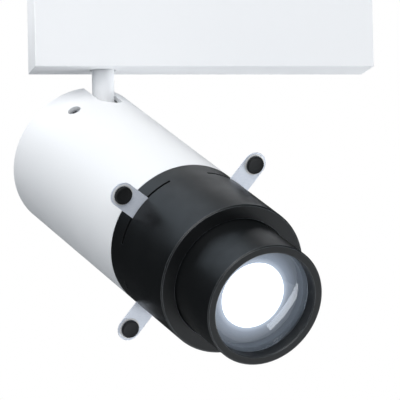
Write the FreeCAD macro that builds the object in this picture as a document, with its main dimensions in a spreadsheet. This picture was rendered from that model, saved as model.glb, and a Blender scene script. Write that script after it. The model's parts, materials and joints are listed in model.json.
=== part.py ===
import FreeCAD, Part
import math
import os
import re
import Sketcher

# A track-mounted framing spotlight. A gear box hangs under the track, a hollow stem turns in its
# floor, and the lamp head tilts on the stem's foot. The head's front carries a turning framing
# module with four shutter blades, and a barrel that slides to focus the lenses.
#
# Row frame: millimetres, origin at the centre of the gear box's top rim, X along the box,
# Y across it, Z up. The head is drawn in a frame of its own: Z forward along the light's axis,
# Y the head's up, X along the tilt axle, origin at the foot of the tilt axle on the light's axis.

DIMENSIONS = {
    # gear box
    "box_length": 210, "box_width": 38, "box_height": 92, "box_wall": 1.5, "box_edge": 0.6,
    "lid_sunk": 0.5, "lid_thick": 2, "lid_gap": 0.2, "lid_hole": 4.5,
    "boss_radius": 3.5, "boss_x": 98.5, "boss_y": 12.5, "boss_depth": 14,
    "screw_shank": 1.45, "screw_hole": 1.6, "screw_head": 2.8, "head_thick": 1.7, "tap_hole": 1.5,
    "boss_web": 2, "boss_web_reach": 5, "window_gap": 0.6,
    "driver_left": -30, "driver_right": 97, "driver_half": 13, "driver_low": -84, "driver_top": -26,
    "foot_left": -20, "foot_right": 75, "foot_length": 14,
    "terminal_length": 22, "terminal_half": 9, "terminal_top": -16, "entry_radius": 2,
    "entry_floor": -24, "entry_first": 4, "entry_pitch": 7, "gland_depth": 8,
    "lead_radius": 1.8, "lead_bend": 12, "lead_turn": -62, "lead_mouth": -64.8, "lead_seated": 6,
    # track adapter
    "adapter_left": -64, "adapter_right": 70, "adapter_half": 8.6, "adapter_top": 20,
    "left_rotor_x": -42, "right_rotor_x": 48, "rotor_radius": 4, "rotor_top": 18.4,
    "cam_low": 7.5, "cam_top": 12.1, "cam_reach": 13, "cam_half": 5.9, "cam_slot": 15,
    "lever_low": -5.3, "lever_top": -3.1, "lever_reach": 27, "lever_half": 3, "lever_hub": 7,
    "lever_angle": 135, "window_half": 26, "tongue_low": 14, "tongue_thick": 1,
    "tongue_half": 1.5, "tongue_reach": 11.5, "tongue_room": 3.5, "cam_gap": 0.5, "rotor_gap": 0.4,
    "rebate_width": 1.2, "rebate_depth": 2,
    # stem and pan bearing
    "stem_x": -61.1, "stem_radius": 6.8, "stem_bore": 4.5, "stem_hole": 8.2, "stem_top": 28,
    "running_gap": 0.05, "push_gap": 0.02,
    "bearing_low": 1.8, "bearing_seat": 10.5, "bearing_top": 13.5, "bearing_half": 25,
    "bearing_depth": 16, "bearing_bush": 11, "bearing_screw_x": 20, "bearing_screw_end": 3,
    "stop_pin_radius": 0.8, "stop_pin_x": 15, "stop_low": 13.9, "stop_top": 17.2,
    "stop_ring": 10.5, "stop_reach": 16.5, "stop_half": 1.2, "nut_circle": 11, "nut_top": 23.2,
    # tilt joint
    "pivot_drop": 37.3, "pivot_lift": 25.4, "axle_radius": 6, "axle_left": -26.5, "axle_right": 17,
    "knuckle_radius": 9, "knuckle_half": 7.6, "knuckle_neck": 12, "spigot_radius": 4.4,
    "spigot_top": 20, "lead_bore": 2.4, "lead_exit": 9.3, "washer_thick": 0.8, "washer_radius": 8.6,
    "cheek_inner": 9, "cheek_outer": 11.5, "cheek_low": 14, "cheek_high": 34.4, "cheek_rear": -9,
    "web_rear": 12.5, "web_low": -6, "spine_rear": 15, "bush_radius": 7.6, "bush_inner": 8.8,
    "collar_left": -26, "collar_radius": 8.5, "collar_boss": 4.2, "collar_reach": 41.4,
    "lock_angle": -32.5, "lock_z": 2.7, "lock_hole": 4, "lock_screw": 3, "lock_low": 39,
    "lock_top": 44.4, "lock_socket": 1.6, "axle_nut_left": 12, "axle_nut_right": 16.5,
    "axle_nut_circle": 9.5, "collar_boss_low": 7, "collar_tap_low": 30, "collar_tap_high": 45,
    # pose in which the lamp is drawn
    "head_pan": 69.4, "head_tilt": 26, "module_turn": 30,
    # lamp head
    "head_radius": 46, "head_wall": 2.5, "cap_rear": -22, "cap_front": -19, "cap_lip": -15,
    "cap_edge": 0.8, "head_end": 116.2, "slot_half": 8, "slot_front": 6.2, "slot_floor": 25.9,
    "vent_half": 1.5, "vent_reach": 21, "vent_pitch": 7, "vent_first": 6,
    "sink_radius": 43.2, "sink_rear": 62, "sink_front": 70, "fin_rear": 18, "fin_pitch": 6,
    "fin_half": 0.9, "spine_half": 12, "spine_low": -8, "spine_high": 36,
    "post_radius": 3.5, "cap_post_circle": 33, "ring_post_circle": 36,
    "lead_x": 15, "lead_y": 16, "lead_start": 10,
    "board_radius": 24, "board_front": 72, "emitter_half": 11, "emitter_front": 73,
    "glow_radius": 8.5, "glow_front": 73.6, "holder_bore": 16, "holder_front": 76,
    "condenser_bore": 27, "condenser_radius": 29.5, "condenser_rear": 80, "condenser_front": 118,
    "ring_rear": 108, "ring_face": 116, "spigot_front": 124, "ring_bore": 29.6,
    "turn_spigot": 38, "turn_rear": 116.9, "turn_front": 123.4, "retainer_radius": 39.5,
    "retainer_front": 126, "turn_pin": 1.4, "turn_pin_circle": 41, "turn_pin_front": 118.9,
    "turn_groove": 119.6, "turn_back": 75, "turn_ahead": 15, "turn_margin": 2.6,
    # framing module
    "module_start": 116.6, "module_front": 182.7, "module_face": 3.2, "barrel_hole": 37.4,
    "plate_radius": 43.3, "rear_plate_low": 127.2, "rear_plate_top": 128.4,
    "front_plate_low": 131.2, "front_plate_top": 132.4, "gate_radius": 12.5,
    "post_circle": 41.6, "gate_post": 1.4, "gate_spacer": 1.75, "gate_end": 134,
    "stud_place": 21, "stud_radius": 2, "blade_thick": 0.6, "near_blade": 129.2, "far_blade": 130.4,
    "slit_half": 0.9, "slit_spread": 30,
    "blade_edge": 13, "blade_half": 16, "blade_shoulder": 27, "blade_neck": 33, "tab_half": 7.5,
    "grip_place": 60.5, "block_half": 2.5, "block_reach": 4, "block_thick": 0.9,
    "blade_inward": 7.5, "blade_outward": 1.5, "blade_spare": 0.4,
    "grip_radius": 5.4, "grip_thick": 2.2, "grip_pin": 2,
    "guide_low": 168, "guide_top": 179.4,
    # focusing barrel
    "barrel_radius": 36.7, "barrel_rear": 158, "barrel_front": 223.1, "barrel_lip": 31.7,
    "barrel_bore": 33.2, "lens_seat": 215, "barrel_edge": 0.7, "lip_edge": 0.5, "flange_radius": 41,
    "flange_front": 161, "lens_radius": 33, "lens_rear": 210, "lens_rise": 5,
    "retainer_rear": 204.5, "retainer_bore": 30.5, "holder_rear": 190, "holder_rim": 204.4,
    "cone_radius": 31, "glow_mouth": 19.5, "holder_mouth": 206.6, "inner_lens": 19.3,
    "inner_flange": 22, "inner_seat": 198.2, "inner_rear": 192, "inner_rise": 0.8,
}

doc = FreeCAD.newDocument("spotlight")
sheet = doc.addObject("Spreadsheet::Sheet", "dims")
for row, (alias, number) in enumerate(DIMENSIONS.items(), 1):
    sheet.set(f"A{row}", alias)
    sheet.set(f"B{row}", str(number))
    sheet.setAlias(f"B{row}", alias)
doc.recompute()

ALIAS = re.compile(r"[a-z]+(?:_[a-z]+)+")
X = FreeCAD.Vector(1, 0, 0)
Y = FreeCAD.Vector(0, 1, 0)
Z = FreeCAD.Vector(0, 0, 1)
OVER = 1  # how far a cutting tool runs past the face that it goes through
pieces = []


# ---------------------------------------------------------------- expressions and primitives
def formula(text):
    """A sheet expression: every alias in the text gets the sheet's name in front."""
    return ALIAS.sub(lambda found: "dims." + found.group(), str(text))


def value(text):
    """The number that an expression gives now."""
    return float(sheet.evalExpression(formula(text)))


def bind(item, **sizes):
    """Tie properties to expressions. Two underscores in a name stand for a dot."""
    for name, text in sizes.items():
        item.setExpression(name.replace("__", "."), formula(text))
    return item


def place(item, at, rotation=None):
    """Turn an object, and tie its position to three expressions."""
    item.Placement = FreeCAD.Placement(FreeCAD.Vector(), rotation or FreeCAD.Rotation())
    bind(item, Placement__Base__x=at[0], Placement__Base__y=at[1], Placement__Base__z=at[2])
    return item


def block(x, y, z):
    """A box between two expressions on each axis."""
    box = doc.addObject("Part::Box", "block")
    spans = [f"({high}) - ({low})" for low, high in (x, y, z)]
    bind(box, Length=spans[0], Width=spans[1], Height=spans[2])
    return place(box, (x[0], y[0], z[0]))


def rod(radius, low, high, centre=(0, 0), along=Z):
    """A cylinder from low to high along an axis. centre is its place on the other two axes."""
    item = doc.addObject("Part::Cylinder", "rod")
    bind(item, Radius=radius, Height=f"({high}) - ({low})")
    spots = {"X": (low, *centre), "Y": (centre[0], low, centre[1]), "Z": (*centre, low)}
    name = "X" if along is X else "Y" if along is Y else "Z"
    return place(item, spots[name], FreeCAD.Rotation(Z, along))


def hexagon(circle, low, high, along=Z):
    """A hexagonal bar on an axis through the origin."""
    item = doc.addObject("Part::Prism", "hexagon")
    item.Polygon = 6
    bind(item, Circumradius=circle, Height=f"({high}) - ({low})")
    at = (low, 0, 0) if along is X else (0, 0, low)
    return place(item, at, FreeCAD.Rotation(Z, along))


def radial(radius, low, high, angle, level):
    """A cylinder that points out of the light's axis at an angle from the head's up."""
    turn = math.radians(value(angle))
    out = FreeCAD.Vector(math.sin(turn), math.cos(turn), 0)
    item = doc.addObject("Part::Cylinder", "radial")
    bind(item, Radius=radius, Height=f"({high}) - ({low})")
    item.Placement = FreeCAD.Placement(out * value(low) + Z * value(level), FreeCAD.Rotation(Z, out))
    return item


def ball(radius, level):
    """A sphere centred on the light's axis."""
    item = doc.addObject("Part::Sphere", "ball")
    bind(item, Radius=radius)
    return place(item, (0, 0, level))


# ---------------------------------------------------------------- booleans
def fuse(*shapes):
    item = doc.addObject("Part::MultiFuse", "joined")
    item.Shapes = list(shapes)
    return item


def cut(base, *tools):
    item = doc.addObject("Part::Cut", "cut")
    item.Base = base
    item.Tool = tools[0] if len(tools) == 1 else fuse(*tools)
    return item


def common(base, tool):
    item = doc.addObject("Part::Common", "shared")
    item.Base = base
    item.Tool = tool
    return item


def group(*shapes):
    """Separate solids kept together, such as a set of screws."""
    item = doc.addObject("Part::Compound", "group")
    item.Links = list(shapes)
    return item


# ---------------------------------------------------------------- sketched bodies
def outline(body, plane, points):
    """A closed outline on one of the body's planes. Each corner is dimensioned from the origin."""
    sketch = body.newObject("Sketcher::SketchObject", "outline")
    planes = {feature.Role: feature for feature in body.Origin.OriginFeatures}
    sketch.AttachmentSupport = (planes[plane], [""])
    sketch.MapMode = "FlatFace"
    corners = [FreeCAD.Vector(value(a), value(b), 0) for a, b in points]
    last = len(corners) - 1
    for index, corner in enumerate(corners):
        after = 0 if index == last else index + 1
        sketch.addGeometry(Part.LineSegment(corner, corners[after]))
    for index in range(len(corners)):
        after = 0 if index == last else index + 1
        sketch.addConstraint(Sketcher.Constraint("Coincident", index, 2, after, 1))
    for index, (corner, point) in enumerate(zip(corners, points)):
        for kind, size, text in (("DistanceX", corner.x, point[0]), ("DistanceY", corner.y, point[1])):
            number = sketch.addConstraint(Sketcher.Constraint(kind, -1, 1, index, 1, size))
            sketch.setExpression(f"Constraints[{number}]", formula(text))
    return sketch


def turned(*points):
    """A body turned on a lathe about Z. Each point is a radius and a height."""
    body = doc.addObject("PartDesign::Body", "turned")
    sketch = outline(body, "XZ_Plane", points)
    feature = body.newObject("PartDesign::Revolution", "revolution")
    feature.Profile = sketch
    feature.ReferenceAxis = (sketch, ["V_Axis"])
    feature.Angle = 360
    return body


def sheet_metal(low, high, *points):
    """A flat body cut from sheet: an outline in X and Y, between two heights."""
    body = doc.addObject("PartDesign::Body", "flat")
    sketch = outline(body, "XY_Plane", points)
    bind(sketch, AttachmentOffset__Base__z=low)
    feature = body.newObject("PartDesign::Pad", "pad")
    feature.Profile = sketch
    bind(feature, Length=f"({high}) - ({low})")
    return body


# ---------------------------------------------------------------- shared shapes
def tube(bore, radius, low, high, along=Z, centre=(0, 0)):
    """A plain ring or tube."""
    inside = rod(bore, f"{low} - {OVER}", f"{high} + {OVER}", centre, along)
    return cut(rod(radius, low, high, centre, along), inside)


def screw(at, head_top, end):
    """A pan-head screw pointing down -Z, with a hexagonal socket in its head."""
    under = f"{head_top} - head_thick"
    body = fuse(rod("screw_head", under, head_top, at), rod("screw_shank", end, under, at))
    socket = doc.addObject("Part::Prism", "socket")
    socket.Polygon = 6
    bind(socket, Circumradius="screw_shank", Height="head_thick")
    return cut(body, place(socket, (*at, f"{head_top} - head_thick / 2")))


def ring_of(count, circle, first=0):
    """Points evenly round a circle, as pairs of plain numbers."""
    turns = [math.radians(first + 360 / count * step) for step in range(count)]
    return [(value(circle) * math.sin(turn), value(circle) * math.cos(turn)) for turn in turns]


def piece(name, item, frame=None):
    """Name a finished sub-part and stand it in its frame."""
    if item.isDerivedFrom("Part::Primitive"):
        item = group(item)
    item.Label = name
    if frame is not None:
        item.Placement = frame
    pieces.append((name, item))


# ---------------------------------------------------------------- frames
def shift(x=0, y=0, z=0):
    return FreeCAD.Placement(FreeCAD.Vector(x, y, z), FreeCAD.Rotation())


def turn(axis, degrees):
    return FreeCAD.Placement(FreeCAD.Vector(), FreeCAD.Rotation(axis, degrees))


def rotor_frame(rotor_x, degrees=0):
    return shift(x=value(rotor_x)) * turn(Z, degrees)


# floor_frame: on the stem's axis at the gear box's underside. stem_frame: at the tilt axle, X along it.
floor_frame = shift(value("stem_x"), 0, value("-box_height"))
stem_frame = floor_frame * shift(z=value("-pivot_drop")) * turn(Z, 90 - value("head_pan"))
head_frame = stem_frame * turn(X, 90 + value("head_tilt")) * shift(y=value("-pivot_lift"))
module_frame = head_frame * turn(Z, value("-module_turn"))
FLOOR = "pivot_drop"  # the gear box's underside, as a height in the stem's frame


# ---------------------------------------------------------------- gear box
def gear_box_housing():
    outer = block(
        ("-box_length / 2", "box_length / 2"), ("-box_width / 2", "box_width / 2"), ("-box_height", 0)
    )
    doc.recompute()
    soft = doc.addObject("Part::Fillet", "softened")
    soft.Base = outer
    edge = value("box_edge")
    low_edges = [
        (number, edge, edge)
        for number, line in enumerate(outer.Shape.Edges, 1)
        if line.CenterOfMass.z < -edge
    ]
    soft.Edges = low_edges
    inner = block(
        ("box_wall - box_length / 2", "box_length / 2 - box_wall"),
        ("box_wall - box_width / 2", "box_width / 2 - box_wall"),
        ("box_wall - box_height", OVER),
    )
    tools = [inner, rod("stem_hole", f"-box_height - {OVER}", "box_wall * 2 - box_height", ("stem_x", 0))]
    for rotor_x in ("left_rotor_x", "right_rotor_x"):
        tools.append(block(
            (f"{rotor_x} - window_half", f"{rotor_x} + window_half"),
            ("box_width / 2 - box_wall * 2", f"box_width / 2 + {OVER}"),
            ("lever_low - window_gap", "lever_top + window_gap"),
        ))
    shell = cut(soft, *tools)
    bosses = []
    holes = []
    for side in (-1, 1):
        for way in (-1, 1):
            at = (f"{side} * boss_x", f"{way} * boss_y")
            bosses.append(rod("boss_radius", "-boss_depth", "-lid_sunk - lid_thick", at))
            web = f"{way} * (box_width - box_wall - boss_web_reach) / 2"
            bosses.append(block(
                (f"{side} * boss_x - boss_web", f"{side} * boss_x + boss_web"),
                (f"{web} - boss_web_reach / 2", f"{web} + boss_web_reach / 2"),
                ("-boss_depth", "-lid_sunk - lid_thick"),
            ))
            holes.append(rod("tap_hole", f"-boss_depth - {OVER}", 0, at))
        at = (f"stem_x + {side} * bearing_screw_x", 0)
        seat = "bearing_seat - box_height"
        bosses.append(rod("boss_radius", "box_wall / 2 - box_height", seat, at))
        holes.append(rod("tap_hole", "box_wall - box_height", f"{seat} + {OVER}", at))
    return cut(fuse(shell, *bosses), *holes)


def gear_box_lid():
    side_x = "box_length / 2 - box_wall - lid_gap"
    side_y = "box_width / 2 - box_wall - lid_gap"
    low = "-lid_sunk - lid_thick"
    plate = block((f"-({side_x})", side_x), (f"-({side_y})", side_y), (low, "-lid_sunk"))
    tools = [rod("lid_hole", f"{low} - {OVER}", 0, (name, 0)) for name in ("left_rotor_x", "right_rotor_x")]
    for side in (-1, 1):
        for way in (-1, 1):
            at = (f"{side} * boss_x", f"{way} * boss_y")
            tools.append(rod("screw_hole", f"{low} - {OVER}", 0, at))
            tools.append(rod("screw_head + 0.2", "-lid_sunk - head_thick", 0, at))
    return cut(plate, *tools)


def lid_screws():
    corners = [(f"{side} * boss_x", f"{way} * boss_y") for side in (-1, 1) for way in (-1, 1)]
    return group(*[screw(at, "-lid_sunk", "1 - boss_depth") for at in corners])


def pan_bearing():
    """Drawn in the floor frame: a bush on a screwed plate, with the pan stop's nub on top."""
    plate = block(
        ("-bearing_half", "bearing_half"), ("-bearing_depth", "bearing_depth"),
        ("bearing_seat", "bearing_top"),
    )
    bush = rod("bearing_bush", "bearing_low", "bearing_seat")
    nub = rod("stop_pin_radius", "bearing_seat", "stop_top", ("-stop_pin_x", 0))
    tools = [rod("stem_radius + running_gap", 0, "bearing_top + 2")]
    for side in (-1, 1):
        tools.append(rod("screw_hole", "bearing_low", "bearing_top + 1", (f"{side} * bearing_screw_x", 0)))
    return cut(fuse(plate, bush, nub), *tools)


def bearing_screws():
    spots = [(f"{side} * bearing_screw_x", 0) for side in (-1, 1)]
    return group(*[screw(at, "bearing_top + head_thick", "bearing_screw_end") for at in spots])


def driver():
    case = block(
        ("driver_left", "driver_right"), ("-driver_half", "driver_half"), ("driver_low", "driver_top")
    )
    feet = [
        block((foot, f"{foot} + foot_length"), ("-driver_half", "driver_half"),
              ("box_wall - box_height", "driver_low"))
        for foot in ("foot_left", "foot_right")
    ]
    terminals = block(
        (0, "terminal_length"), ("-terminal_half", "terminal_half"), ("driver_top", "terminal_top")
    )
    spots = [(f"entry_first + {step} * entry_pitch", 0) for step in range(3)]
    entries = [rod("entry_radius", "entry_floor", f"terminal_top + {OVER}", at) for at in spots]
    gland = rod(
        "lead_radius + 0.1", f"driver_left - {OVER}", "driver_left + gland_depth",
        (0, "lead_turn + lead_bend"), along=X,
    )
    return cut(fuse(case, *feet, terminals), gland, *entries)


def lamp_lead():
    """The lead from the driver to the stem's mouth: a run, a quarter bend and a drop."""
    level = "lead_turn + lead_bend"
    bend = doc.addObject("Part::Torus", "bend")
    bind(bend, Radius1="lead_bend", Radius2="lead_radius")
    bend.Angle3 = 90
    upright = FreeCAD.Rotation(X, 90) * FreeCAD.Rotation(Z, 90)
    place(bend, ("stem_x + lead_bend", 0, "lead_turn"), upright)
    run = rod("lead_radius", "stem_x + lead_bend", "driver_left + lead_seated", (0, level), along=X)
    drop = rod("lead_radius", "lead_mouth", "lead_turn", ("stem_x", 0))
    return fuse(run, bend, drop)


# ---------------------------------------------------------------- track adapter
def adapter_body():
    base = block(
        ("adapter_left", "adapter_right"), ("-adapter_half", "adapter_half"), ("-lid_sunk", "adapter_top")
    )
    tools = []
    for rotor_x, high in (
        ("left_rotor_x", "cam_top + cam_gap"), ("right_rotor_x", "tongue_low + tongue_room")
    ):
        tools.append(block(
            (f"{rotor_x} - cam_slot", f"{rotor_x} + cam_slot"),
            (f"-adapter_half - {OVER}", f"adapter_half + {OVER}"), ("cam_low - cam_gap", high),
        ))
        bore_top = "rotor_top + rotor_gap"
        tools.append(rod("rotor_radius + running_gap", f"-lid_sunk - {OVER}", bore_top, (rotor_x, 0)))
    for way in (-1, 1):
        edge = f"{way} * adapter_half"
        tools.append(block(
            (f"adapter_left - {OVER}", f"adapter_right + {OVER}"),
            (f"{edge} - rebate_width", f"{edge} + rebate_width"),
            ("adapter_top - rebate_depth", f"adapter_top + {OVER}"),
        ))
    return cut(base, *tools)


def lock_cam(slotted):
    """Drawn on its own axis: the shaft, with the cam that grips the track's lips."""
    shaft = rod("rotor_radius", "lever_low", "rotor_top")
    bar = block(("-cam_half", "cam_half"), ("-cam_reach", "cam_reach"), ("cam_low", "cam_top"))
    cam = fuse(shaft, common(bar, rod("cam_reach + 0.4", "cam_low", "cam_top")))
    return cut(cam, tongue_bar()) if slotted else cam


def tongue_bar():
    return block(
        ("-tongue_half", "tongue_half"), ("-tongue_reach", "tongue_reach"),
        ("tongue_low", "tongue_low + tongue_thick"),
    )


def lock_lever():
    arm = block((0, "lever_reach"), ("-lever_half", "lever_half"), ("lever_low", "lever_top"))
    hub = rod("lever_hub", "lever_low", "lever_top")
    tip = rod("lever_half", "lever_low", "lever_top", ("lever_reach", 0))
    return cut(fuse(arm, hub, tip), rod("rotor_radius + push_gap", "lever_low - 1", "lever_top + 1"))


# ---------------------------------------------------------------- stem and tilt joint
def stem():
    top = f"{FLOOR} + stem_top"
    return turned(
        ("stem_bore", "knuckle_neck"), ("stem_radius", "knuckle_neck"),
        ("stem_radius", f"{top} - box_edge"), ("stem_radius - box_edge", top), ("stem_bore", top),
    )


def pan_stop_ring():
    low = f"{FLOOR} + stop_low"
    high = f"{FLOOR} + stop_top"
    lug = block(("-stop_half", "stop_half"), ("-stop_reach", "-stop_ring + 1"), (low, high))
    return cut(fuse(rod("stop_ring", low, high), lug), rod("stem_radius + push_gap", FLOOR, f"{high} + 1"))


def stem_nut():
    low = f"{FLOOR} + stop_top"
    high = f"{FLOOR} + nut_top"
    ring = common(hexagon("nut_circle", low, high), rod("nut_circle - 0.5", low, high))
    return cut(ring, rod("stem_radius + push_gap", FLOOR, f"{high} + 1"))


def tilt_knuckle():
    barrel = rod("knuckle_radius", "-knuckle_half", "knuckle_half", along=X)
    neck = rod("stem_radius", 0, "knuckle_neck")
    spigot = rod("spigot_radius", 0, "spigot_top")
    axle = rod("axle_radius + push_gap", "-knuckle_half - 1", "knuckle_half + 1", along=X)
    shaft = rod("lead_bore", "lead_exit", "spigot_top + 1")
    exit_hole = rod("lead_bore", "-stem_radius - 1", 0, (0, "lead_exit"), along=Y)
    return cut(fuse(barrel, neck, spigot), axle, shaft, exit_hole)


def tilt_axle():
    return rod("axle_radius", "axle_left", "axle_right", along=X)


def tilt_washers():
    inner = "knuckle_half"
    outer = "knuckle_half + washer_thick"
    bore = "axle_radius + push_gap"
    left = tube(bore, "washer_radius", f"-({outer})", f"-({inner})", along=X)
    return group(left, tube(bore, "washer_radius", inner, outer, along=X))


def axle_nut():
    nut = hexagon("axle_nut_circle", "axle_nut_left", "axle_nut_right", along=X)
    return cut(nut, rod("axle_radius + push_gap", "axle_nut_left - 1", "axle_nut_right + 1", along=X))


def tilt_bracket():
    """Drawn in the head's frame: a folded channel with a bore for a bush in each cheek."""
    web = block(("-cheek_outer", "cheek_outer"), ("web_low", "cheek_high"), ("web_rear", "spine_rear"))
    cheeks = [
        block((low, high), ("cheek_low", "cheek_high"), ("cheek_rear", "spine_rear"))
        for low, high in (("-cheek_outer", "-cheek_inner"), ("cheek_inner", "cheek_outer"))
    ]
    bore = rod("bush_radius + push_gap", "-cheek_outer - 1", "cheek_outer + 1", ("pivot_lift", 0), along=X)
    return cut(fuse(web, *cheeks), bore)


def tilt_bushes():
    pairs = (("-cheek_outer", "-bush_inner"), ("bush_inner", "cheek_outer"))
    bore = "axle_radius + running_gap"
    at = ("pivot_lift", 0)
    return group(*[tube(bore, "bush_radius", low, high, along=X, centre=at) for low, high in pairs])


def tilt_lock_collar():
    ring = rod("collar_radius", "collar_left", "-cheek_outer", ("pivot_lift", 0), along=X)
    boss = radial("collar_boss", "pivot_lift + collar_boss_low", "collar_reach", "lock_angle", "lock_z")
    bore = rod("axle_radius + running_gap", "collar_left - 4", "-cheek_outer + 1", ("pivot_lift", 0), along=X)
    tap = radial("lock_screw + push_gap", "collar_tap_low", "collar_tap_high", "lock_angle", "lock_z")
    return cut(fuse(ring, boss), bore, tap)


def tilt_lock_screw():
    grub = radial("lock_screw", "lock_low", "lock_top", "lock_angle", "lock_z")
    return cut(grub, radial("lock_socket", "lock_top - 2", "lock_top + 1", "lock_angle", "lock_z"))


# ---------------------------------------------------------------- lamp head
def stem_slot(low, high):
    """The slot that the stem swings through, along the top of the head from its rear end."""
    run = block(("-slot_half", "slot_half"), ("slot_floor", "head_radius + 2"), (low, high))
    return fuse(run, rod("slot_half", "slot_floor", "head_radius + 2", (0, high), along=Y))


def head_housing():
    wall = turned(
        ("head_radius - head_wall", "cap_front"), ("head_radius", "cap_front"),
        ("head_radius", "head_end"), ("head_radius - head_wall", "head_end"),
    )
    slot = stem_slot("cap_rear - 1", "slot_front - slot_half")
    access = radial("lock_hole", "head_radius - 5", "head_radius + 2", "lock_angle", "lock_z")
    return cut(wall, slot, access)


def cap_spots():
    """The cap's screws: two beside the light's axis and one below it, clear of the tilt joint."""
    low = ring_of(1, "cap_post_circle", 180)
    return low + ring_of(1, "cap_post_circle", 110) + ring_of(1, "cap_post_circle", -110)


def rear_cap():
    disc = turned(
        (0, "cap_rear"), ("head_radius - cap_edge", "cap_rear"), ("head_radius", "cap_rear + cap_edge"),
        ("head_radius", "cap_front"), ("sink_radius", "cap_front"), ("sink_radius", "cap_lip"),
        ("sink_radius - 2", "cap_lip"), ("sink_radius - 2", "cap_front"), (0, "cap_front"),
    )
    low = "cap_rear - 1"
    high = "cap_lip + 1"
    tools = [
        block(("-slot_half", "slot_half"), ("slot_floor", "head_radius + 1"), (low, high)),
        rod("slot_half", low, high, (0, "slot_floor")),
    ]
    for row in range(5):
        level = f"vent_first - {row} * vent_pitch"
        reach = f"vent_reach - {max(row - 2, 0)} * 3"
        tools.append(block(
            (f"-({reach})", reach), (f"{level} - vent_half", f"{level} + vent_half"), (low, high)
        ))
        tools += [rod("vent_half", low, high, (f"{side} * ({reach})", level)) for side in (-1, 1)]
    for at in cap_spots():
        tools.append(rod("screw_hole", low, high, at))
        tools.append(rod("screw_head + 0.2", low, "cap_rear + head_thick", at))
    return cut(disc, *tools)


def cap_screws():
    """Three screws whose heads sit flush in the cap's rear face."""
    screws = []
    for at in cap_spots():
        body = fuse(
            rod("screw_head", "cap_rear", "cap_rear + head_thick", at),
            rod("screw_shank", "cap_rear + head_thick", "cap_rear + 12", at),
        )
        screws.append(cut(body, rod("lock_socket", "cap_rear - 1", "cap_rear + 1", at)))
    return group(*screws)


def heat_sink():
    fins = [
        block(
            (f"{step} * fin_pitch / 2 - fin_half", f"{step} * fin_pitch / 2 + fin_half"),
            ("-head_radius", "head_radius"), ("fin_rear", f"sink_rear + {OVER}"),
        )
        for step in range(-13, 14, 2)
    ]
    comb = common(fuse(*fins), rod("sink_radius", "fin_rear", "sink_front"))
    plate = rod("sink_radius", "sink_rear", "sink_front")
    spine = block(
        ("-spine_half", "spine_half"), ("spine_low", "spine_high"), ("spine_rear", "sink_front - 1")
    )
    cap_posts = [rod("post_radius", "cap_front", "sink_front - 1", at) for at in cap_spots()]
    ring_posts = [rod("post_radius", "sink_front - 1", "ring_rear", at)
                  for at in ring_of(3, "ring_post_circle")]
    taps = [rod("tap_hole", "cap_front - 1", "cap_front + 12", at) for at in cap_spots()]
    wire_way = rod("lead_bore", "spine_rear", "sink_front + 1", ("lead_x", "lead_y"))
    return cut(fuse(comb, plate, spine, *cap_posts, *ring_posts), wire_way, *taps)


def led_board():
    board = rod("board_radius", "sink_front", "board_front")
    return cut(board, rod("lead_bore", "sink_front - 1", "board_front + 1", ("lead_x", "lead_y")))


def led_emitter():
    base = block(
        ("-emitter_half", "emitter_half"), ("-emitter_half", "emitter_half"),
        ("board_front", "emitter_front"),
    )
    return fuse(base, rod("glow_radius", "emitter_front", "glow_front"))


def led_holder():
    ring = tube("holder_bore", "board_radius", "board_front", "holder_front")
    return cut(ring, rod("lead_bore + 1", "board_front - 1", "holder_front + 1", ("lead_x", "lead_y")))


def head_lead():
    return rod("lead_radius", "lead_start", "board_front + 2.5", ("lead_x", "lead_y"))


def condenser_barrel():
    """The tube that holds both condenser lenses, with a shoulder at its rear."""
    return turned(
        ("condenser_bore - 2", "condenser_rear"), ("condenser_radius", "condenser_rear"),
        ("condenser_radius", "condenser_front"), ("condenser_bore", "condenser_front"),
        ("condenser_bore", "condenser_rear + 2"), ("condenser_bore - 2", "condenser_rear + 2"),
    )


def plano_convex(radius, flat, edge, rise):
    """A lens with a flat rear and a domed front that rises above its edge."""
    sphere = f"(({radius}) ^ 2 + ({rise}) ^ 2) / (2 * ({rise}))"
    apex = f"{edge} + {rise}"
    return common(rod(radius, flat, f"{apex} + 1"), ball(sphere, f"{apex} - {sphere}"))


def condenser_lenses():
    radius = "condenser_bore - 0.1"
    rear = plano_convex(radius, "condenser_rear + 2", "condenser_rear + 5", 9)
    front = plano_convex(radius, "condenser_rear + 20", "condenser_rear + 23", 9)
    return group(rear, front)


def front_ring():
    """Closes the white tube and carries the turning module on its spigot."""
    ring = turned(
        ("ring_bore", "ring_rear"), ("plate_radius", "ring_rear"), ("plate_radius", "ring_face"),
        ("turn_spigot", "ring_face"), ("turn_spigot", "spigot_front"), ("ring_bore", "spigot_front"),
    )
    return fuse(ring, rod("turn_pin", "ring_face - 2", "turn_pin_front", (0, "-turn_pin_circle")))


def turn_retainer():
    return tube("ring_bore + 1", "retainer_radius", "spigot_front", "retainer_front")


# ---------------------------------------------------------------- framing module
BLADES = (  # name, angle from the module's up, and the height of the plane that the blade lies in
    ("shutter_a", 0, "far_blade"),
    ("shutter_b", 90, "near_blade"),
    ("shutter_c", 180, "far_blade"),
    ("shutter_d", 270, "near_blade"),
)


def sector(radius, low, high, start, sweep):
    """A pie slice about Z, from a start angle counted from X."""
    item = doc.addObject("Part::Cylinder", "sector")
    bind(item, Radius=radius, Height=f"({high}) - ({low})", Angle=sweep)
    return place(item, (0, 0, low), FreeCAD.Rotation(Z, value(start)))


def framing_housing():
    """Drawn in the module's frame: the black casing with one slit for each blade."""
    inner = "head_radius - head_wall"
    shell = turned(
        (inner, "module_start"), ("head_radius", "module_start"),
        ("head_radius", "module_front - cap_edge"), ("head_radius - cap_edge", "module_front"),
        ("barrel_hole", "module_front"), ("barrel_hole", "module_front - module_face"),
        (inner, "module_front - module_face"),
    )
    slits = [
        sector("head_radius + 2", f"{level} - slit_half", f"{level} + slit_half",
               f"{90 - angle} - slit_spread", "2 * slit_spread")
        for _, angle, level in BLADES
    ]
    return cut(shell, *slits)


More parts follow.
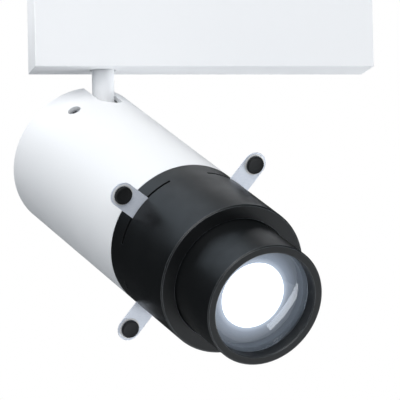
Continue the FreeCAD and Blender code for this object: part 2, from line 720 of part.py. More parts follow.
def turn_ring():
    """Rides on the spigot. A groove in its rear face meets the pin at both ends of the turn."""
    ring = tube("turn_spigot + running_gap", "plate_radius", "turn_rear", "turn_front")
    start = "module_turn - 90 - turn_back - turn_margin"
    sweep = "turn_back + turn_ahead + 2 * turn_margin"
    wide = sector("turn_pin_circle + turn_pin + 0.4", "turn_rear - 1", "turn_groove", start, sweep)
    core = rod("turn_pin_circle - turn_pin - 0.4", "turn_rear - 2", "turn_groove + 1")
    return cut(ring, cut(wide, core))


def gate_plate(low, high, gate, stud_low, stud_high, level):
    """A plate with the light gate, two blade studs and holes for the four posts."""
    disc = rod("plate_radius", low, high)
    studs = []
    for _, angle, blade_level in BLADES:
        if blade_level == level:
            way = math.radians(angle)
            at = (value("stud_place") * math.sin(way), value("stud_place") * math.cos(way))
            studs.append(rod("stud_radius", stud_low, stud_high, at))
    holes = [rod("gate_post + push_gap", f"{low} - 1", f"{high} + 1", at)
             for at in ring_of(4, "post_circle", 45)]
    return cut(fuse(disc, *studs), rod(gate, f"{low} - 1", f"{high} + 1"), *holes)


def gate_posts():
    """Four stepped posts with their nuts: they tie both gate plates to the turn ring."""
    posts = []
    for at in ring_of(4, "post_circle", 45):
        posts.append(fuse(
            rod("gate_post", "turn_front", "gate_end", at),
            rod("gate_spacer", "turn_front", "rear_plate_low", at),
            rod("gate_spacer", "rear_plate_top", "front_plate_low", at),
            rod("gate_spacer", "front_plate_top", "gate_end - 0.3", at),
        ))
    return group(*posts)


def barrel_guide():
    return tube("barrel_radius + running_gap", "plate_radius", "guide_low", "guide_top")


def shutter_blade(level):
    """Drawn with its tab along +Y: a wide cutting edge, a slot for the block and a round-ended tab."""
    low = f"{level} - blade_thick / 2"
    high = f"{level} + blade_thick / 2"
    plate = sheet_metal(
        low, high,
        ("-blade_half", "blade_edge"), ("blade_half", "blade_edge"), ("blade_half", "blade_shoulder"),
        ("tab_half", "blade_neck"), ("tab_half", "grip_place"), ("-tab_half", "grip_place"),
        ("-tab_half", "blade_neck"), ("-blade_half", "blade_shoulder"),
    )
    tip = rod("tab_half", low, high, (0, "grip_place"))
    slot = block(
        ("-block_half - running_gap", "block_half + running_gap"),
        ("stud_place - block_reach - blade_outward - blade_spare",
         "stud_place + block_reach + blade_inward + blade_spare"),
        (f"{low} - 1", f"{high} + 1"),
    )
    hole = rod("grip_pin", f"{low} - 1", f"{high} + 1", (0, "grip_place"))
    return cut(fuse(plate, tip), slot, hole)


def slide_block(level):
    low = f"{level} - block_thick / 2"
    high = f"{level} + block_thick / 2"
    body = block(
        ("-block_half", "block_half"), ("stud_place - block_reach", "stud_place + block_reach"),
        (low, high),
    )
    return cut(body, rod("stud_radius + running_gap", f"{low} - 1", f"{high} + 1", (0, "stud_place")))


def shutter_grip(level):
    """A round grip button: a disc on each face of the tab, joined through its hole."""
    at = (0, "grip_place")
    low = f"{level} - blade_thick / 2"
    high = f"{level} + blade_thick / 2"
    return fuse(
        rod("grip_radius", high, f"{high} + grip_thick", at),
        rod("grip_pin - push_gap", low, high, at),
        rod("grip_radius", f"{low} - grip_thick", low, at),
    )


# ---------------------------------------------------------------- focusing barrel
def lens_tube():
    """Slides in the guide. Its rear flange stops it from coming out."""
    return turned(
        ("barrel_bore", "barrel_rear"), ("flange_radius", "barrel_rear"), ("flange_radius", "flange_front"),
        ("barrel_radius", "flange_front"), ("barrel_radius", "barrel_front - barrel_edge"),
        ("barrel_radius - barrel_edge", "barrel_front"), ("barrel_lip + lip_edge", "barrel_front"),
        ("barrel_lip", "barrel_front - lip_edge"), ("barrel_lip", "lens_seat"), ("barrel_bore", "lens_seat"),
    )


def front_lens():
    sphere = "(barrel_lip ^ 2 + lens_rise ^ 2) / (2 * lens_rise)"
    disc = rod("lens_radius", "lens_rear", "lens_seat + lens_rise + 1")
    return common(disc, ball(sphere, f"lens_seat + lens_rise - {sphere}"))


def lens_retainer():
    return tube("retainer_bore", "barrel_bore - push_gap", "retainer_rear", "lens_rear")


def rear_lens_holder():
    """A black cone between the two lenses, with a seat for the rear one."""
    rim = "barrel_bore - push_gap"
    return turned(
        ("inner_flange + 0.1", "holder_rear"), (rim, "holder_rear"), (rim, "holder_rim"),
        ("cone_radius", "holder_rim"), ("glow_mouth", "holder_mouth"), ("glow_mouth", "inner_seat"),
        ("inner_flange + 0.1", "inner_seat"),
    )


def rear_lens():
    nose = plano_convex("inner_lens", "inner_rear", "holder_mouth", "inner_rise")
    return fuse(nose, rod("inner_flange", "inner_rear", "inner_seat"))


# ---------------------------------------------------------------- assembly
piece("gear_box_housing", gear_box_housing())
piece("gear_box_lid", gear_box_lid())
piece("lid_screws", lid_screws())
piece("driver", driver())
piece("lamp_lead", lamp_lead())
piece("pan_bearing", pan_bearing(), floor_frame)
piece("bearing_screws", bearing_screws(), floor_frame)

piece("adapter_body", adapter_body())
piece("contact_tongues", tongue_bar(), rotor_frame("right_rotor_x"))
for side, rotor_x in (("left", "left_rotor_x"), ("right", "right_rotor_x")):
    piece(f"{side}_lock_cam", lock_cam(side == "right"), rotor_frame(rotor_x))
    piece(f"{side}_lock_lever", lock_lever(), rotor_frame(rotor_x, value("lever_angle")))

piece("stem", stem(), stem_frame)
piece("pan_stop_ring", pan_stop_ring(), stem_frame)
piece("stem_nut", stem_nut(), stem_frame)
piece("stem_lead", rod("lead_radius", "lead_exit + 1", f"{FLOOR} + stem_top - 1"), stem_frame)
piece("tilt_knuckle", tilt_knuckle(), stem_frame)
piece("tilt_axle", tilt_axle(), stem_frame)
piece("tilt_washers", tilt_washers(), stem_frame)
piece("axle_nut", axle_nut(), stem_frame)

piece("head_housing", head_housing(), head_frame)
piece("rear_cap", rear_cap(), head_frame)
piece("cap_screws", cap_screws(), head_frame)
piece("heat_sink", heat_sink(), head_frame)
piece("tilt_bracket", tilt_bracket(), head_frame)
piece("tilt_bushes", tilt_bushes(), head_frame)
piece("tilt_lock_collar", tilt_lock_collar(), head_frame)
piece("tilt_lock_screw", tilt_lock_screw(), head_frame)
piece("led_board", led_board(), head_frame)
piece("led_emitter", led_emitter(), head_frame)
piece("led_holder", led_holder(), head_frame)
piece("head_lead", head_lead(), head_frame)
piece("condenser_barrel", condenser_barrel(), head_frame)
piece("condenser_lenses", condenser_lenses(), head_frame)
piece("front_ring", front_ring(), head_frame)
piece("turn_retainer", turn_retainer(), head_frame)

piece("framing_housing", framing_housing(), module_frame)
piece("turn_ring", turn_ring(), module_frame)
piece("rear_gate_plate", gate_plate(
    "rear_plate_low", "rear_plate_top", "gate_radius",
    "rear_plate_low", "near_blade + block_thick / 2 + 0.1", "near_blade"), module_frame)
piece("front_gate_plate", gate_plate(
    "front_plate_low", "front_plate_top", "gate_radius + 1.5",
    "far_blade - block_thick / 2 - 0.1", "front_plate_top", "far_blade"), module_frame)
piece("gate_posts", gate_posts(), module_frame)
piece("barrel_guide", barrel_guide(), module_frame)
for name, angle, level in BLADES:
    blade_frame = module_frame * turn(Z, -angle)
    piece(f"{name}_blade", shutter_blade(level), blade_frame)
    piece(f"{name}_block", slide_block(level), blade_frame)
    piece(f"{name}_grip", shutter_grip(level), blade_frame)

piece("lens_tube", lens_tube(), head_frame)
piece("front_lens", front_lens(), head_frame)
piece("lens_retainer", lens_retainer(), head_frame)
piece("rear_lens_holder", rear_lens_holder(), head_frame)
piece("rear_lens", rear_lens(), head_frame)

# ---------------------------------------------------------------- checks and export
doc.recompute()
for item in doc.Objects:
    if "Invalid" in item.State or "Error" in item.State:
        raise RuntimeError(f"{item.Name} ({item.Label}) failed to recompute: {item.State}")
for name, item in pieces:
    if item.Shape.isNull() or not item.Shape.isValid() or item.Shape.Volume <= 0:
        raise RuntimeError(f"{name} has no valid solid")
os.makedirs("parts", exist_ok=True)
for name, item in pieces:
    item.Shape.exportStep(f"parts/{name}.step")
print(f"{len(pieces)} sub-parts written")
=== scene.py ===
import json
import math

import bmesh
import bpy
from mathutils import Matrix, Vector


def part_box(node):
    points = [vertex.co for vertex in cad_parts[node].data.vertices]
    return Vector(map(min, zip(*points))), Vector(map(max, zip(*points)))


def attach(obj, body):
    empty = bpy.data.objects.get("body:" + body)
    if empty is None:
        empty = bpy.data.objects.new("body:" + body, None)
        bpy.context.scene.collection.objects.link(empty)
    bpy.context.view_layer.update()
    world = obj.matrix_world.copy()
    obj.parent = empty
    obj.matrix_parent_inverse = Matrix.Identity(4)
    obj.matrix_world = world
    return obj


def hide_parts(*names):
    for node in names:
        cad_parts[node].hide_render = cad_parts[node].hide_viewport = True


# The looks of a track-mounted framing spotlight, in metres, in the CAD part's own frame: X along the
# gear box, Y away from the side that the lamp points to, Z up, origin on the gear box's top rim.

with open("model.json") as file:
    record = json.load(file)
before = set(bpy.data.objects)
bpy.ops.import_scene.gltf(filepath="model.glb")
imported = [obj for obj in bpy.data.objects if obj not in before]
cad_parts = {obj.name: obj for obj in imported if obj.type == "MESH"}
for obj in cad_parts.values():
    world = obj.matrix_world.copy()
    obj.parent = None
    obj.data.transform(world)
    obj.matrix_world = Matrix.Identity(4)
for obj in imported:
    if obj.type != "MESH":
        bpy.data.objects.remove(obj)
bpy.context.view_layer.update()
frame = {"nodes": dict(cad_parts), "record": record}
nodes = frame["nodes"]
joints = {joint["name"]: joint for joint in frame["record"]["behaviour"]["joints"]}

MM = 0.001
scene = bpy.context.scene


# ---------------------------------------------------------------- the head's own axes
LIGHT_AXIS = Vector(joints["focus_slide"]["axis"]).normalized()
TILT_AXIS = Vector(joints["head_tilt"]["axis"]).normalized()
HEAD_UP = LIGHT_AXIS.cross(TILT_AXIS)
PIVOT = Vector(joints["head_tilt"]["pos_m"])
PIVOT_LIFT = 25.4 * MM  # from the light's axis up to the tilt axle
AXIS_POINT = PIVOT - PIVOT_LIFT * HEAD_UP


# ---------------------------------------------------------------- camera
CAMERA_PLACE = Vector((-0.3736, -2.3025, -0.3972))
CAMERA_PAN = math.radians(9.16)
CAMERA_TILT = math.radians(5.51)
CAMERA_ROLL = math.radians(-1.19)
CAMERA_LENS = 343.05
CAMERA_SENSOR = 36.0
CAMERA_REACH = 50.0


def make_camera():
    """A long lens, a little below the lamp and left of it, looking up at it."""
    data = bpy.data.cameras.new("camera")
    data.sensor_width = CAMERA_SENSOR
    data.lens = CAMERA_LENS
    data.clip_end = CAMERA_REACH
    ahead = Vector((
        math.sin(CAMERA_PAN) * math.cos(CAMERA_TILT),
        math.cos(CAMERA_PAN) * math.cos(CAMERA_TILT),
        math.sin(CAMERA_TILT),
    ))
    level = Vector((math.cos(CAMERA_PAN), -math.sin(CAMERA_PAN), 0.0))
    upright = level.cross(ahead)
    right = math.cos(CAMERA_ROLL) * level + math.sin(CAMERA_ROLL) * upright
    up = -math.sin(CAMERA_ROLL) * level + math.cos(CAMERA_ROLL) * upright
    camera = bpy.data.objects.new("camera", data)
    camera.matrix_world = Matrix.Translation(CAMERA_PLACE) @ Matrix((right, up, -ahead)).transposed().to_4x4()
    scene.collection.objects.link(camera)
    scene.camera = camera


# ---------------------------------------------------------------- studio
WHITE = (1.0, 1.0, 1.0)


def area_light(name, place, target, size, power, colour=WHITE, height=None):
    """A soft rectangular light that the camera doesn't see. It is square if no height is given."""
    data = bpy.data.lights.new(name, "AREA")
    data.shape = "RECTANGLE"
    data.size = size
    data.size_y = height or size
    data.energy = power
    data.color = colour
    light = bpy.data.objects.new(name, data)
    light.location = place
    light.rotation_euler = (Vector(target) - Vector(place)).to_track_quat("-Z", "Y").to_euler()
    light.visible_camera = False
    scene.collection.objects.link(light)
    return light


def make_world():
    """White behind everything, a pale room for soft light, and a dim one for the black parts to mirror."""
    world = bpy.data.worlds.new("studio")
    scene.world = world
    world.use_nodes = True
    tree = world.node_tree
    tree.nodes.clear()
    out = tree.nodes.new("ShaderNodeOutputWorld")
    path = tree.nodes.new("ShaderNodeLightPath")
    coords = tree.nodes.new("ShaderNodeTexCoord")
    split = tree.nodes.new("ShaderNodeSeparateXYZ")
    height = tree.nodes.new("ShaderNodeMapRange")
    ramp = tree.nodes.new("ShaderNodeValToRGB")
    height.inputs["From Min"].default_value = -1.0
    ramp.color_ramp.elements[0].color = ROOM_LOW
    ramp.color_ramp.elements[1].color = ROOM_HIGH
    links = tree.links
    links.new(coords.outputs["Generated"], split.inputs[0])
    links.new(split.outputs["Z"], height.inputs["Value"])
    links.new(height.outputs["Result"], ramp.inputs["Fac"])
    backs = []
    for strength in (ROOM_STRENGTH, MIRROR_STRENGTH, BACKDROP_STRENGTH):
        back = tree.nodes.new("ShaderNodeBackground")
        back.inputs["Strength"].default_value = strength
        backs.append(back)
    soft, mirrored, white = backs
    white.inputs["Color"].default_value = (*WHITE, 1.0)
    links.new(ramp.outputs["Color"], soft.inputs["Color"])
    links.new(ramp.outputs["Color"], mirrored.inputs["Color"])
    mixed = soft
    for ray, back in (("Is Glossy Ray", mirrored), ("Is Camera Ray", white)):
        mix = tree.nodes.new("ShaderNodeMixShader")
        links.new(path.outputs[ray], mix.inputs["Fac"])
        links.new(mixed.outputs[0], mix.inputs[1])
        links.new(back.outputs[0], mix.inputs[2])
        mixed = mix
    links.new(mixed.outputs[0], out.inputs["Surface"])


ROOM_LOW = (0.46, 0.60, 0.74, 1.0)  # the soft light from straight below
ROOM_HIGH = (*WHITE, 1.0)
ROOM_STRENGTH = 0.31
MIRROR_STRENGTH = 0.02
BACKDROP_STRENGTH = 1.0
AIM_AHEAD = 0.1  # from the tilt pivot along the light's axis, and down, to the point that the softboxes face
AIM_DOWN = 0.025
HEAD_MIDDLE = PIVOT + AIM_AHEAD * LIGHT_AXIS - AIM_DOWN * HEAD_UP

# Each softbox: the way to it, distance, width, height, power, colour, and whether it shows in reflections.
SOFTBOXES = {
    "top": ((-0.45, 0.43, 0.78), 1.8, 1.3, 1.3, 6.0, (0.76, 0.88, 1.0), True),
    "key": ((-0.33, -0.53, 0.78), 2.2, 1.4, 1.4, 14.2, (1.0, 0.99, 0.97), False),
    "front": ((-0.14, -0.88, 0.37), 2.4, 2.0, 1.6, 27.0, (0.97, 0.98, 1.0), True),
    "low": ((0.88, 0.15, -0.45), 1.6, 1.0, 0.8, 19.0, (0.97, 0.985, 1.0), False),
    "upper": ((0.47, -0.60, 0.65), 2.2, 1.4, 1.4, 6.0, WHITE, False),
    "side": ((-0.85, -0.25, 0.45), 2.0, 1.2, 1.2, 6.5, WHITE, False),
    "back": ((0.10, 0.95, 0.25), 2.2, 1.6, 1.2, 7.0, WHITE, False),
    "strip": ((0.91, -0.15, -0.52), 1.4, 0.14, 0.9, 2.0, (0.90, 0.95, 1.0), True),
}
# A small card off the gear box's left end, which would be the darkest white face without it.
CARD_PLACE = (-0.175, 0.0, -0.04)
CARD_TARGET = (-0.105, 0.0, -0.04)
CARD_SIZE = 0.05
CARD_POWER = 0.03


def make_lights():
    for name, (way, distance, width, height, power, colour, mirrored) in SOFTBOXES.items():
        place = HEAD_MIDDLE + distance * Vector(way).normalized()
        area_light(name, place, HEAD_MIDDLE, width, power, colour, height).visible_glossy = mirrored
    area_light("card", CARD_PLACE, CARD_TARGET, CARD_SIZE, CARD_POWER).visible_glossy = False


FLOOR_LEVEL = -2.8
FLOOR_RADIUS = 5.8
FLOOR_CORNERS = 96
FLOOR_COLOUR = (0.86, 0.87, 0.88, 1.0)
FLOOR_ROUGHNESS = 0.7
FLOOR_GLOW_COLOUR = (0.95, 0.97, 1.0, 1.0)
FLOOR_GLOW = 0.2  # keeps the floor pale, because the softboxes are far above it


def make_floor():
    """A wide pale floor, well below the hanging lamp."""
    mesh = bpy.data.meshes.new("floor")
    build = bmesh.new()
    bmesh.ops.create_circle(build, cap_ends=True, segments=FLOOR_CORNERS, radius=FLOOR_RADIUS)
    build.to_mesh(mesh)
    build.free()
    floor = bpy.data.objects.new("floor", mesh)
    floor.location.z = FLOOR_LEVEL
    scene.collection.objects.link(floor)
    paint = bpy.data.materials.new("floor_paint")
    paint.use_nodes = True
    shader = paint.node_tree.nodes["Principled BSDF"]
    shader.inputs["Base Color"].default_value = FLOOR_COLOUR
    shader.inputs["Roughness"].default_value = FLOOR_ROUGHNESS
    shader.inputs["Emission Color"].default_value = FLOOR_GLOW_COLOUR
    shader.inputs["Emission Strength"].default_value = FLOOR_GLOW
    mesh.materials.append(paint)


# ---------------------------------------------------------------- material kit
EDGE_ROUND = 0.3 * MM
EDGE_HIGHLIGHT_WIDTH = 0.45 * MM  # how far in from an edge the painted edge highlight reaches
BEVEL_SAMPLES = 6
HIGHLIGHT_FROM = 0.86  # the rounded normal against the flat one: full painted highlight below this, none above the next
HIGHLIGHT_TO = 0.985
MIX_FACTOR, MIX_FIRST, MIX_SECOND, MIX_RESULT = 0, 6, 7, 2  # the colour sockets of a Mix node


class Paint:
    """A node material under construction: one Principled shader and the textures that feed it."""

    def __init__(self, name, **sockets):
        self.material = bpy.data.materials.new(name)
        self.material.use_nodes = True
        self.tree = self.material.node_tree
        self.shader = self.tree.nodes["Principled BSDF"]
        for socket, number in sockets.items():
            self.shader.inputs[socket.replace("_", " ")].default_value = number
        self.coords = self.tree.nodes.new("ShaderNodeTexCoord").outputs["Object"]

    def link(self, source, target):
        self.tree.links.new(source, target)

    def stretched(self, scale):
        """Object coordinates, in metres, scaled along each axis."""
        mapping = self.tree.nodes.new("ShaderNodeMapping")
        mapping.inputs["Scale"].default_value = scale
        self.link(self.coords, mapping.inputs["Vector"])
        return mapping.outputs["Vector"]

    def noise(self, scale, detail=3.0, roughness=0.5, vector=None):
        node = self.tree.nodes.new("ShaderNodeTexNoise")
        node.inputs["Scale"].default_value = scale
        node.inputs["Detail"].default_value = detail
        node.inputs["Roughness"].default_value = roughness
        self.link(vector or self.coords, node.inputs["Vector"])
        return node.outputs["Fac"]

    def ranged(self, source, low, high, start=0.3, end=0.7):
        node = self.tree.nodes.new("ShaderNodeMapRange")
        node.inputs["From Min"].default_value = start
        node.inputs["From Max"].default_value = end
        node.inputs["To Min"].default_value = low
        node.inputs["To Max"].default_value = high
        self.link(source, node.inputs["Value"])
        return node.outputs["Result"]

    def ramp(self, source, *stops):
        node = self.tree.nodes.new("ShaderNodeValToRGB")
        elements = node.color_ramp.elements
        while len(elements) < len(stops):
            elements.new(0.5)
        for element, (place, colour) in zip(elements, stops):
            element.position = place
            element.color = (*colour, 1.0)
        self.link(source, node.inputs["Fac"])
        return node.outputs["Color"]

    def vector(self, operation, first, second=None):
        """One vector operation on a socket, with a fixed second vector or a second socket."""
        node = self.tree.nodes.new("ShaderNodeVectorMath")
        node.operation = operation
        self.link(first, node.inputs[0])
        if isinstance(second, Vector):
            node.inputs[1].default_value = second
        elif second is not None:
            self.link(second, node.inputs[1])
        return node.outputs["Vector" if operation in ("SUBTRACT", "CROSS_PRODUCT") else "Value"]

    def axis_radius(self):
        """Distance from the light's axis, in metres, with the lamp at rest."""
        across = self.vector("CROSS_PRODUCT", self.vector("SUBTRACT", self.coords, AXIS_POINT), LIGHT_AXIS)
        return self.vector("LENGTH", across)

    def axis_height(self):
        """Distance along the light's axis from the foot of the tilt axle, in metres, at rest."""
        return self.vector("DOT_PRODUCT", self.vector("SUBTRACT", self.coords, AXIS_POINT), LIGHT_AXIS)

    def product(self, first, second):
        node = self.tree.nodes.new("ShaderNodeMath")
        node.operation = "MULTIPLY"
        self.link(first, node.inputs[0])
        self.link(second, node.inputs[1])
        return node.outputs[0]

    def colour(self, source):
        self.link(source, self.shader.inputs["Base Color"])

    def roughness(self, source):
        self.link(source, self.shader.inputs["Roughness"])

    def bump(self, source, depth, strength=1.0):
        """Raise the surface by up to depth metres where the source is bright, over rounded edges."""
        node = self.tree.nodes.new("ShaderNodeBump")
        node.inputs["Strength"].default_value = strength
        node.inputs["Distance"].default_value = depth
        self.link(source, node.inputs["Height"])
        self.link(self.rounded(EDGE_ROUND), node.inputs["Normal"])
        self.link(node.outputs["Normal"], self.shader.inputs["Normal"])

    def rounded(self, radius):
        node = self.tree.nodes.new("ShaderNodeBevel")
        node.samples = BEVEL_SAMPLES
        node.inputs["Radius"].default_value = radius
        return node.outputs["Normal"]

    def edges(self, base, edge_highlight_colour, where=None):
        """The base colour, with a painted highlight colour along the edges, broken up by a noise."""
        flat = self.tree.nodes.new("ShaderNodeNewGeometry").outputs["Normal"]
        turn = self.vector("DOT_PRODUCT", self.rounded(EDGE_HIGHLIGHT_WIDTH), flat)
        edge = self.ranged(turn, 1.0, 0.0, HIGHLIGHT_FROM, HIGHLIGHT_TO)
        highlight_mask = self.product(edge, self.ranged(self.noise(120.0, 3.0), 0.55, 1.0))
        if where is not None:
            highlight_mask = self.product(highlight_mask, where)
        # Painted edge highlight: the lighter colour laid along the edges stands in for light caught there.
        mix = self.tree.nodes.new("ShaderNodeMix")
        mix.data_type = "RGBA"
        mix.inputs[MIX_SECOND].default_value = (*edge_highlight_colour, 1.0)
        self.link(highlight_mask, mix.inputs[MIX_FACTOR])
        self.link(base, mix.inputs[MIX_FIRST])
        return mix.outputs[MIX_RESULT]


# How far each skin stands up, in metres.
POWDER_SKIN = 0.00004
SATIN_SKIN = 0.00003
BRUSHED_SKIN = 0.00002
CAST_SKIN = 0.00006
MOULDED_SKIN = 0.00005


def powder_coat(name, dark, light):
    """Powder paint: an even colour with a fine orange-peel skin, and a painted highlight along its edges."""
    paint = Paint(name, Specular_IOR_Level=0.5)
    paint.colour(paint.edges(paint.ramp(paint.noise(9.0, 2.0), (0.3, dark), (0.7, light)), WHITE_EDGE_HIGHLIGHT))
    paint.roughness(paint.ranged(paint.noise(60.0, 3.0), 0.40, 0.50))
    paint.bump(paint.noise(1500.0, 2.0, 0.6), POWDER_SKIN, 0.35)
    return paint.material


BLACK_LOW = (0.0052, 0.0060, 0.0066)
BLACK_HIGH = (0.0068, 0.0078, 0.0086)
# Colours painted along edges as a highlight: dim on the black parts, bright on the two front rims, near white
# on the white paint.
BLACK_EDGE_HIGHLIGHT = (0.045, 0.050, 0.055)
RIM_EDGE_HIGHLIGHT = (0.30, 0.33, 0.36)
RIM_FROM = (165.0 * MM, 170.0 * MM)  # the bright painted edge highlight shows on the two front rims, from here on along the light's axis, and not at the slits
WHITE_EDGE_HIGHLIGHT = (0.93, 0.94, 0.95)


def black_satin(name, rough=(0.34, 0.42), grain=2600.0, front_rim=False):
    """Black satin coat with a faint cool cast, and a painted highlight where it turns over an edge."""
    paint = Paint(name, Specular_IOR_Level=0.55)
    base = paint.ramp(paint.noise(14.0, 2.0), (0.3, BLACK_LOW), (0.7, BLACK_HIGH))
    # With front_rim, the painted edge highlight is brighter and lies only on the front rims.
    if front_rim:
        front = paint.ranged(paint.axis_height(), 0.0, 1.0, *RIM_FROM)
        paint.colour(paint.edges(base, RIM_EDGE_HIGHLIGHT, where=front))
    else:
        paint.colour(paint.edges(base, BLACK_EDGE_HIGHLIGHT))
    paint.roughness(paint.ranged(paint.noise(90.0, 4.0), *rough))
    paint.bump(paint.noise(grain, 2.0, 0.6), SATIN_SKIN, 0.3)
    return paint.material


def brushed(name, dark, light, along, rough=(0.28, 0.42), metal=1.0):
    """Brushed metal: fine lines that run along one axis of the row frame."""
    paint = Paint(name, Metallic=metal)
    grain = paint.noise(1.0, 3.0, 0.6, paint.stretched(along))
    paint.colour(paint.ramp(grain, (0.3, dark), (0.7, light)))
    paint.roughness(paint.ranged(grain, *rough))
    paint.bump(grain, BRUSHED_SKIN, 0.25)
    return paint.material


def cast_metal(name, dark, light, rough=(0.45, 0.6)):
    """Die-cast or machined metal with a fine mottled skin."""
    paint = Paint(name, Metallic=1.0)
    skin = paint.noise(420.0, 4.0, 0.65)
    paint.colour(paint.ramp(skin, (0.3, dark), (0.7, light)))
    paint.roughness(paint.ranged(paint.noise(120.0, 3.0), *rough))
    paint.bump(skin, CAST_SKIN, 0.35)
    return paint.material


def moulded(name, dark, light, rough=(0.45, 0.58)):
    """Moulded plastic with the fine texture of its tool."""
    paint = Paint(name, Specular_IOR_Level=0.45)
    paint.colour(paint.ramp(paint.noise(30.0, 3.0), (0.3, dark), (0.7, light)))
    paint.roughness(paint.ranged(paint.noise(150.0, 3.0), *rough))
    paint.bump(paint.noise(1900.0, 2.0, 0.6), MOULDED_SKIN, 0.4)
    return paint.material


def barrel_satin(name):
    """Black satin outside with a painted highlight along the front rim's edges, and duller inside so that the
    lit lens doesn't flare on it.
    """
    paint = Paint(name)
    bore = paint.axis_radius()
    base = paint.ramp(paint.noise(14.0, 2.0), (0.3, BLACK_LOW), (0.7, BLACK_HIGH))
    front = paint.ranged(paint.axis_height(), 0.0, 1.0, *RIM_FROM)
    paint.colour(paint.edges(base, RIM_EDGE_HIGHLIGHT, where=front))
    paint.link(paint.ranged(bore, 0.24, 0.55, *BORE_EDGE), paint.shader.inputs["Specular IOR Level"])
    paint.roughness(paint.ranged(paint.noise(90.0, 4.0), 0.34, 0.42))
    paint.bump(paint.noise(2600.0, 2.0, 0.6), SATIN_SKIN, 0.3)
    return paint.material


def lit_cone(name):
    """The black cone round the lit lens. Its glow is painted, not cast by the lens, and fades outwards."""
    paint = Paint(name, Specular_IOR_Level=0.4, Emission_Strength=1.0)
    radius = paint.ranged(paint.axis_radius(), 0.0, 1.0, CONE_MOUTH, CONE_RIM)
    glow = paint.ramp(
        radius, (0.0, (0.52, 0.59, 0.70)), (0.22, (0.25, 0.29, 0.36)),
        (0.6, (0.125, 0.145, 0.175)), (1.0, (0.06, 0.072, 0.088)),
    )
    paint.link(glow, paint.shader.inputs["Emission Color"])
    grain = paint.noise(60.0, 3.0)
    paint.colour(paint.ramp(grain, (0.3, (0.040, 0.046, 0.054)), (0.7, (0.050, 0.056, 0.064))))
    paint.roughness(paint.ranged(paint.noise(150.0, 3.0), 0.35, 0.45))
    return paint.material


BORE_EDGE = (31.75 * MM, 31.85 * MM)  # the radius where the barrel's dull bore ends and the satin starts
CONE_MOUTH = 19.5 * MM
CONE_RIM = 33.0 * MM


GLASS_INDEX = 1.12
COAT_INDEX = 1.5


def clear_glass(name):
    """Coated glass, polished but a little uneven. Its index is below real glass, to magnify less."""
    paint = Paint(
        name, Transmission_Weight=1.0, IOR=GLASS_INDEX, Base_Color=(0.97, 0.985, 1.0, 1.0),
        Coat_Weight=1.0, Coat_IOR=COAT_INDEX, Coat_Roughness=0.02,
    )
    paint.roughness(paint.ranged(paint.noise(25.0, 2.0), 0.0, 0.03))
    return paint.material


def glowing(name, colour, strength, mottle=0.0):
    """A lit surface: a diffuser or a phosphor."""
    paint = Paint(name, Emission_Strength=strength, Roughness=0.4)
    grain = paint.noise(700.0, 2.0)
    low = tuple(part * (1.0 - mottle) for part in colour)
    tint = paint.ramp(grain, (0.3, low), (0.7, colour))
    paint.colour(tint)
    paint.link(tint, paint.shader.inputs["Emission Color"])
    return paint.material


MATERIALS = {
    "white_paint": powder_coat("white_paint", (0.865, 0.875, 0.890), (0.885, 0.893, 0.905)),
    "black_paint": black_satin("black_paint", front_rim=True),
    "black_anodised": black_satin("black_anodised", (0.30, 0.38), 3400.0),
    "bare_aluminium": cast_metal("bare_aluminium", (0.60, 0.61, 0.63), (0.70, 0.71, 0.73)),
    "steel": brushed("steel", (0.50, 0.51, 0.53), (0.62, 0.63, 0.65), (900.0, 90.0, 900.0)),
    "blade_metal": brushed(
        "blade_metal", (0.76, 0.81, 0.90), (0.84, 0.88, 0.96), (120.0, 1500.0, 1500.0), (0.42, 0.52), 0.1
    ),
    "black_plastic": moulded("black_plastic", (0.013, 0.013, 0.014), (0.020, 0.020, 0.021)),
    "white_plastic": moulded("white_plastic", (0.76, 0.76, 0.75), (0.80, 0.80, 0.79), (0.32, 0.42)),
    "grip_plastic": moulded("grip_plastic", (0.007, 0.008, 0.0085), (0.011, 0.012, 0.0125), (0.5, 0.62)),
    "brass": cast_metal("brass", (0.62, 0.44, 0.18), (0.74, 0.55, 0.26), (0.3, 0.42)),
    "copper": cast_metal("copper", (0.70, 0.36, 0.22), (0.80, 0.45, 0.30), (0.25, 0.36)),
    "board_white": moulded("board_white", (0.74, 0.75, 0.74), (0.80, 0.81, 0.80)),
    "lens_glass": clear_glass("lens_glass"),
    "lit_cone": lit_cone("lit_cone"),
    "barrel_satin": barrel_satin("barrel_satin"),
    "lead_sleeve": moulded("lead_sleeve", (0.52, 0.53, 0.54), (0.60, 0.61, 0.62)),
    "led_glow": glowing("led_glow", (1.0, 0.93, 0.78), 4.0, 0.1),
    "lit_lens": glowing("lit_lens", (0.94, 0.97, 1.0), 1.8),
}
SLOT_OF = {entry["node"]: entry["material_slot"] for entry in frame["record"]["subparts"]}
# These nodes are drawn with a material of their own instead of their slot's material: lit_cone is painted
# glow, barrel_satin has a painted rim highlight.
OWN_MATERIAL_OF = {"rear_lens_holder": "lit_cone", "lens_retainer": "lit_cone", "lens_tube": "barrel_satin"}


def dress_cad_nodes():
    for name, item in nodes.items():
        item.data.materials.clear()
        item.data.materials.append(MATERIALS[OWN_MATERIAL_OF.get(name, SLOT_OF[name])])


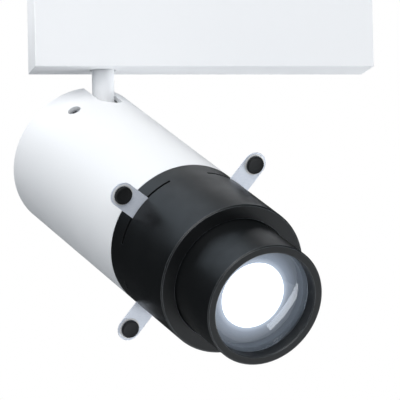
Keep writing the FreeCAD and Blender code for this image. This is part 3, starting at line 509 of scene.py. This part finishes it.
# ---------------------------------------------------------------- shutter grips
def turned(name, profile, centre, axis, segments=96, flutes=0, flute_depth=0.0):
    """A solid of revolution from (radius, height) points in mm, closed on itself or on the axis."""
    spin = axis.to_track_quat("Z", "Y").to_matrix()
    build = bmesh.new()
    rings = []
    for radius, height in profile:
        if radius == 0.0:
            rings.append([build.verts.new(centre + spin @ Vector((0.0, 0.0, height * MM)))])
            continue
        ring = []
        for step in range(segments):
            angle = 2.0 * math.pi * step / segments
            reach = radius
            if flutes and radius > FLUTED_OUTSIDE:
                reach -= flute_depth * 0.5 * (1.0 - math.cos(flutes * angle))
            spot = Vector((reach * math.cos(angle), reach * math.sin(angle), height)) * MM
            ring.append(build.verts.new(centre + spin @ spot))
        rings.append(ring)
    pairs = list(zip(rings, rings[1:]))
    if profile[0][0] > 0.0 and profile[-1][0] > 0.0:
        pairs.append((rings[-1], rings[0]))
    for first, second in pairs:
        for step in range(segments):
            after = (step + 1) % segments
            corners = [first[step % len(first)], first[after % len(first)]]
            corners += [second[after % len(second)], second[step % len(second)]]
            build.faces.new(list(dict.fromkeys(corners)))
    bmesh.ops.recalc_face_normals(build, faces=build.faces)
    mesh = bpy.data.meshes.new(name)
    build.to_mesh(mesh)
    build.free()
    mesh.shade_smooth()
    mesh.set_sharp_from_angle(angle=SHARP_FROM)
    item = bpy.data.objects.new(name, mesh)
    scene.collection.objects.link(item)
    return item


SHARP_FROM = math.radians(38.0)
# In mm: where the flutes start, how deep they are, and (radius, height) points from the blade's middle.
FLUTED_OUTSIDE = 5.2
FLUTE_DEPTH = 0.14
FLUTES = 24
GRIP_SEGMENTS = 144
GRIP_HALF = [
    (0.0, 2.12), (2.6, 2.16), (3.9, 2.28), (4.35, 2.42), (4.7, 2.5), (5.05, 2.44), (5.28, 2.27),
    (5.4, 2.0), (5.4, 0.55), (5.3, 0.31), (1.96, 0.31),
]
SEAT_HALF = [(5.5, 0.3), (5.5, 0.42), (5.62, 0.46), (6.2, 0.46), (6.38, 0.4), (6.4, 0.3)]


def make_grips():
    """A fluted, dished button on each tab, with a pale seat ring round it on both faces of the blade."""
    for letter in "abcd":
        centre = middle(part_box(f"shutter_{letter}_grip"))
        lower = [(radius, -height) for radius, height in reversed(GRIP_HALF)]
        grip = turned(f"grip_button_{letter}", GRIP_HALF + lower, centre, LIGHT_AXIS,
                      GRIP_SEGMENTS, FLUTES, FLUTE_DEPTH)
        grip.data.materials.append(MATERIALS["grip_plastic"])
        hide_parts(f"shutter_{letter}_grip")
        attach(grip, f"shutter_{letter}")
        for face, way in (("front", LIGHT_AXIS), ("rear", -LIGHT_AXIS)):
            seat = turned(f"grip_seat_{letter}_{face}", SEAT_HALF, centre, way)
            seat.data.materials.append(MATERIALS["white_plastic"])
            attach(seat, f"shutter_{letter}")


def middle(box):
    low, high = box
    return (Vector(low) + Vector(high)) / 2.0


make_camera()
make_world()
make_lights()
make_floor()
dress_cad_nodes()
make_grips()
scene.view_settings.view_transform = "Standard"
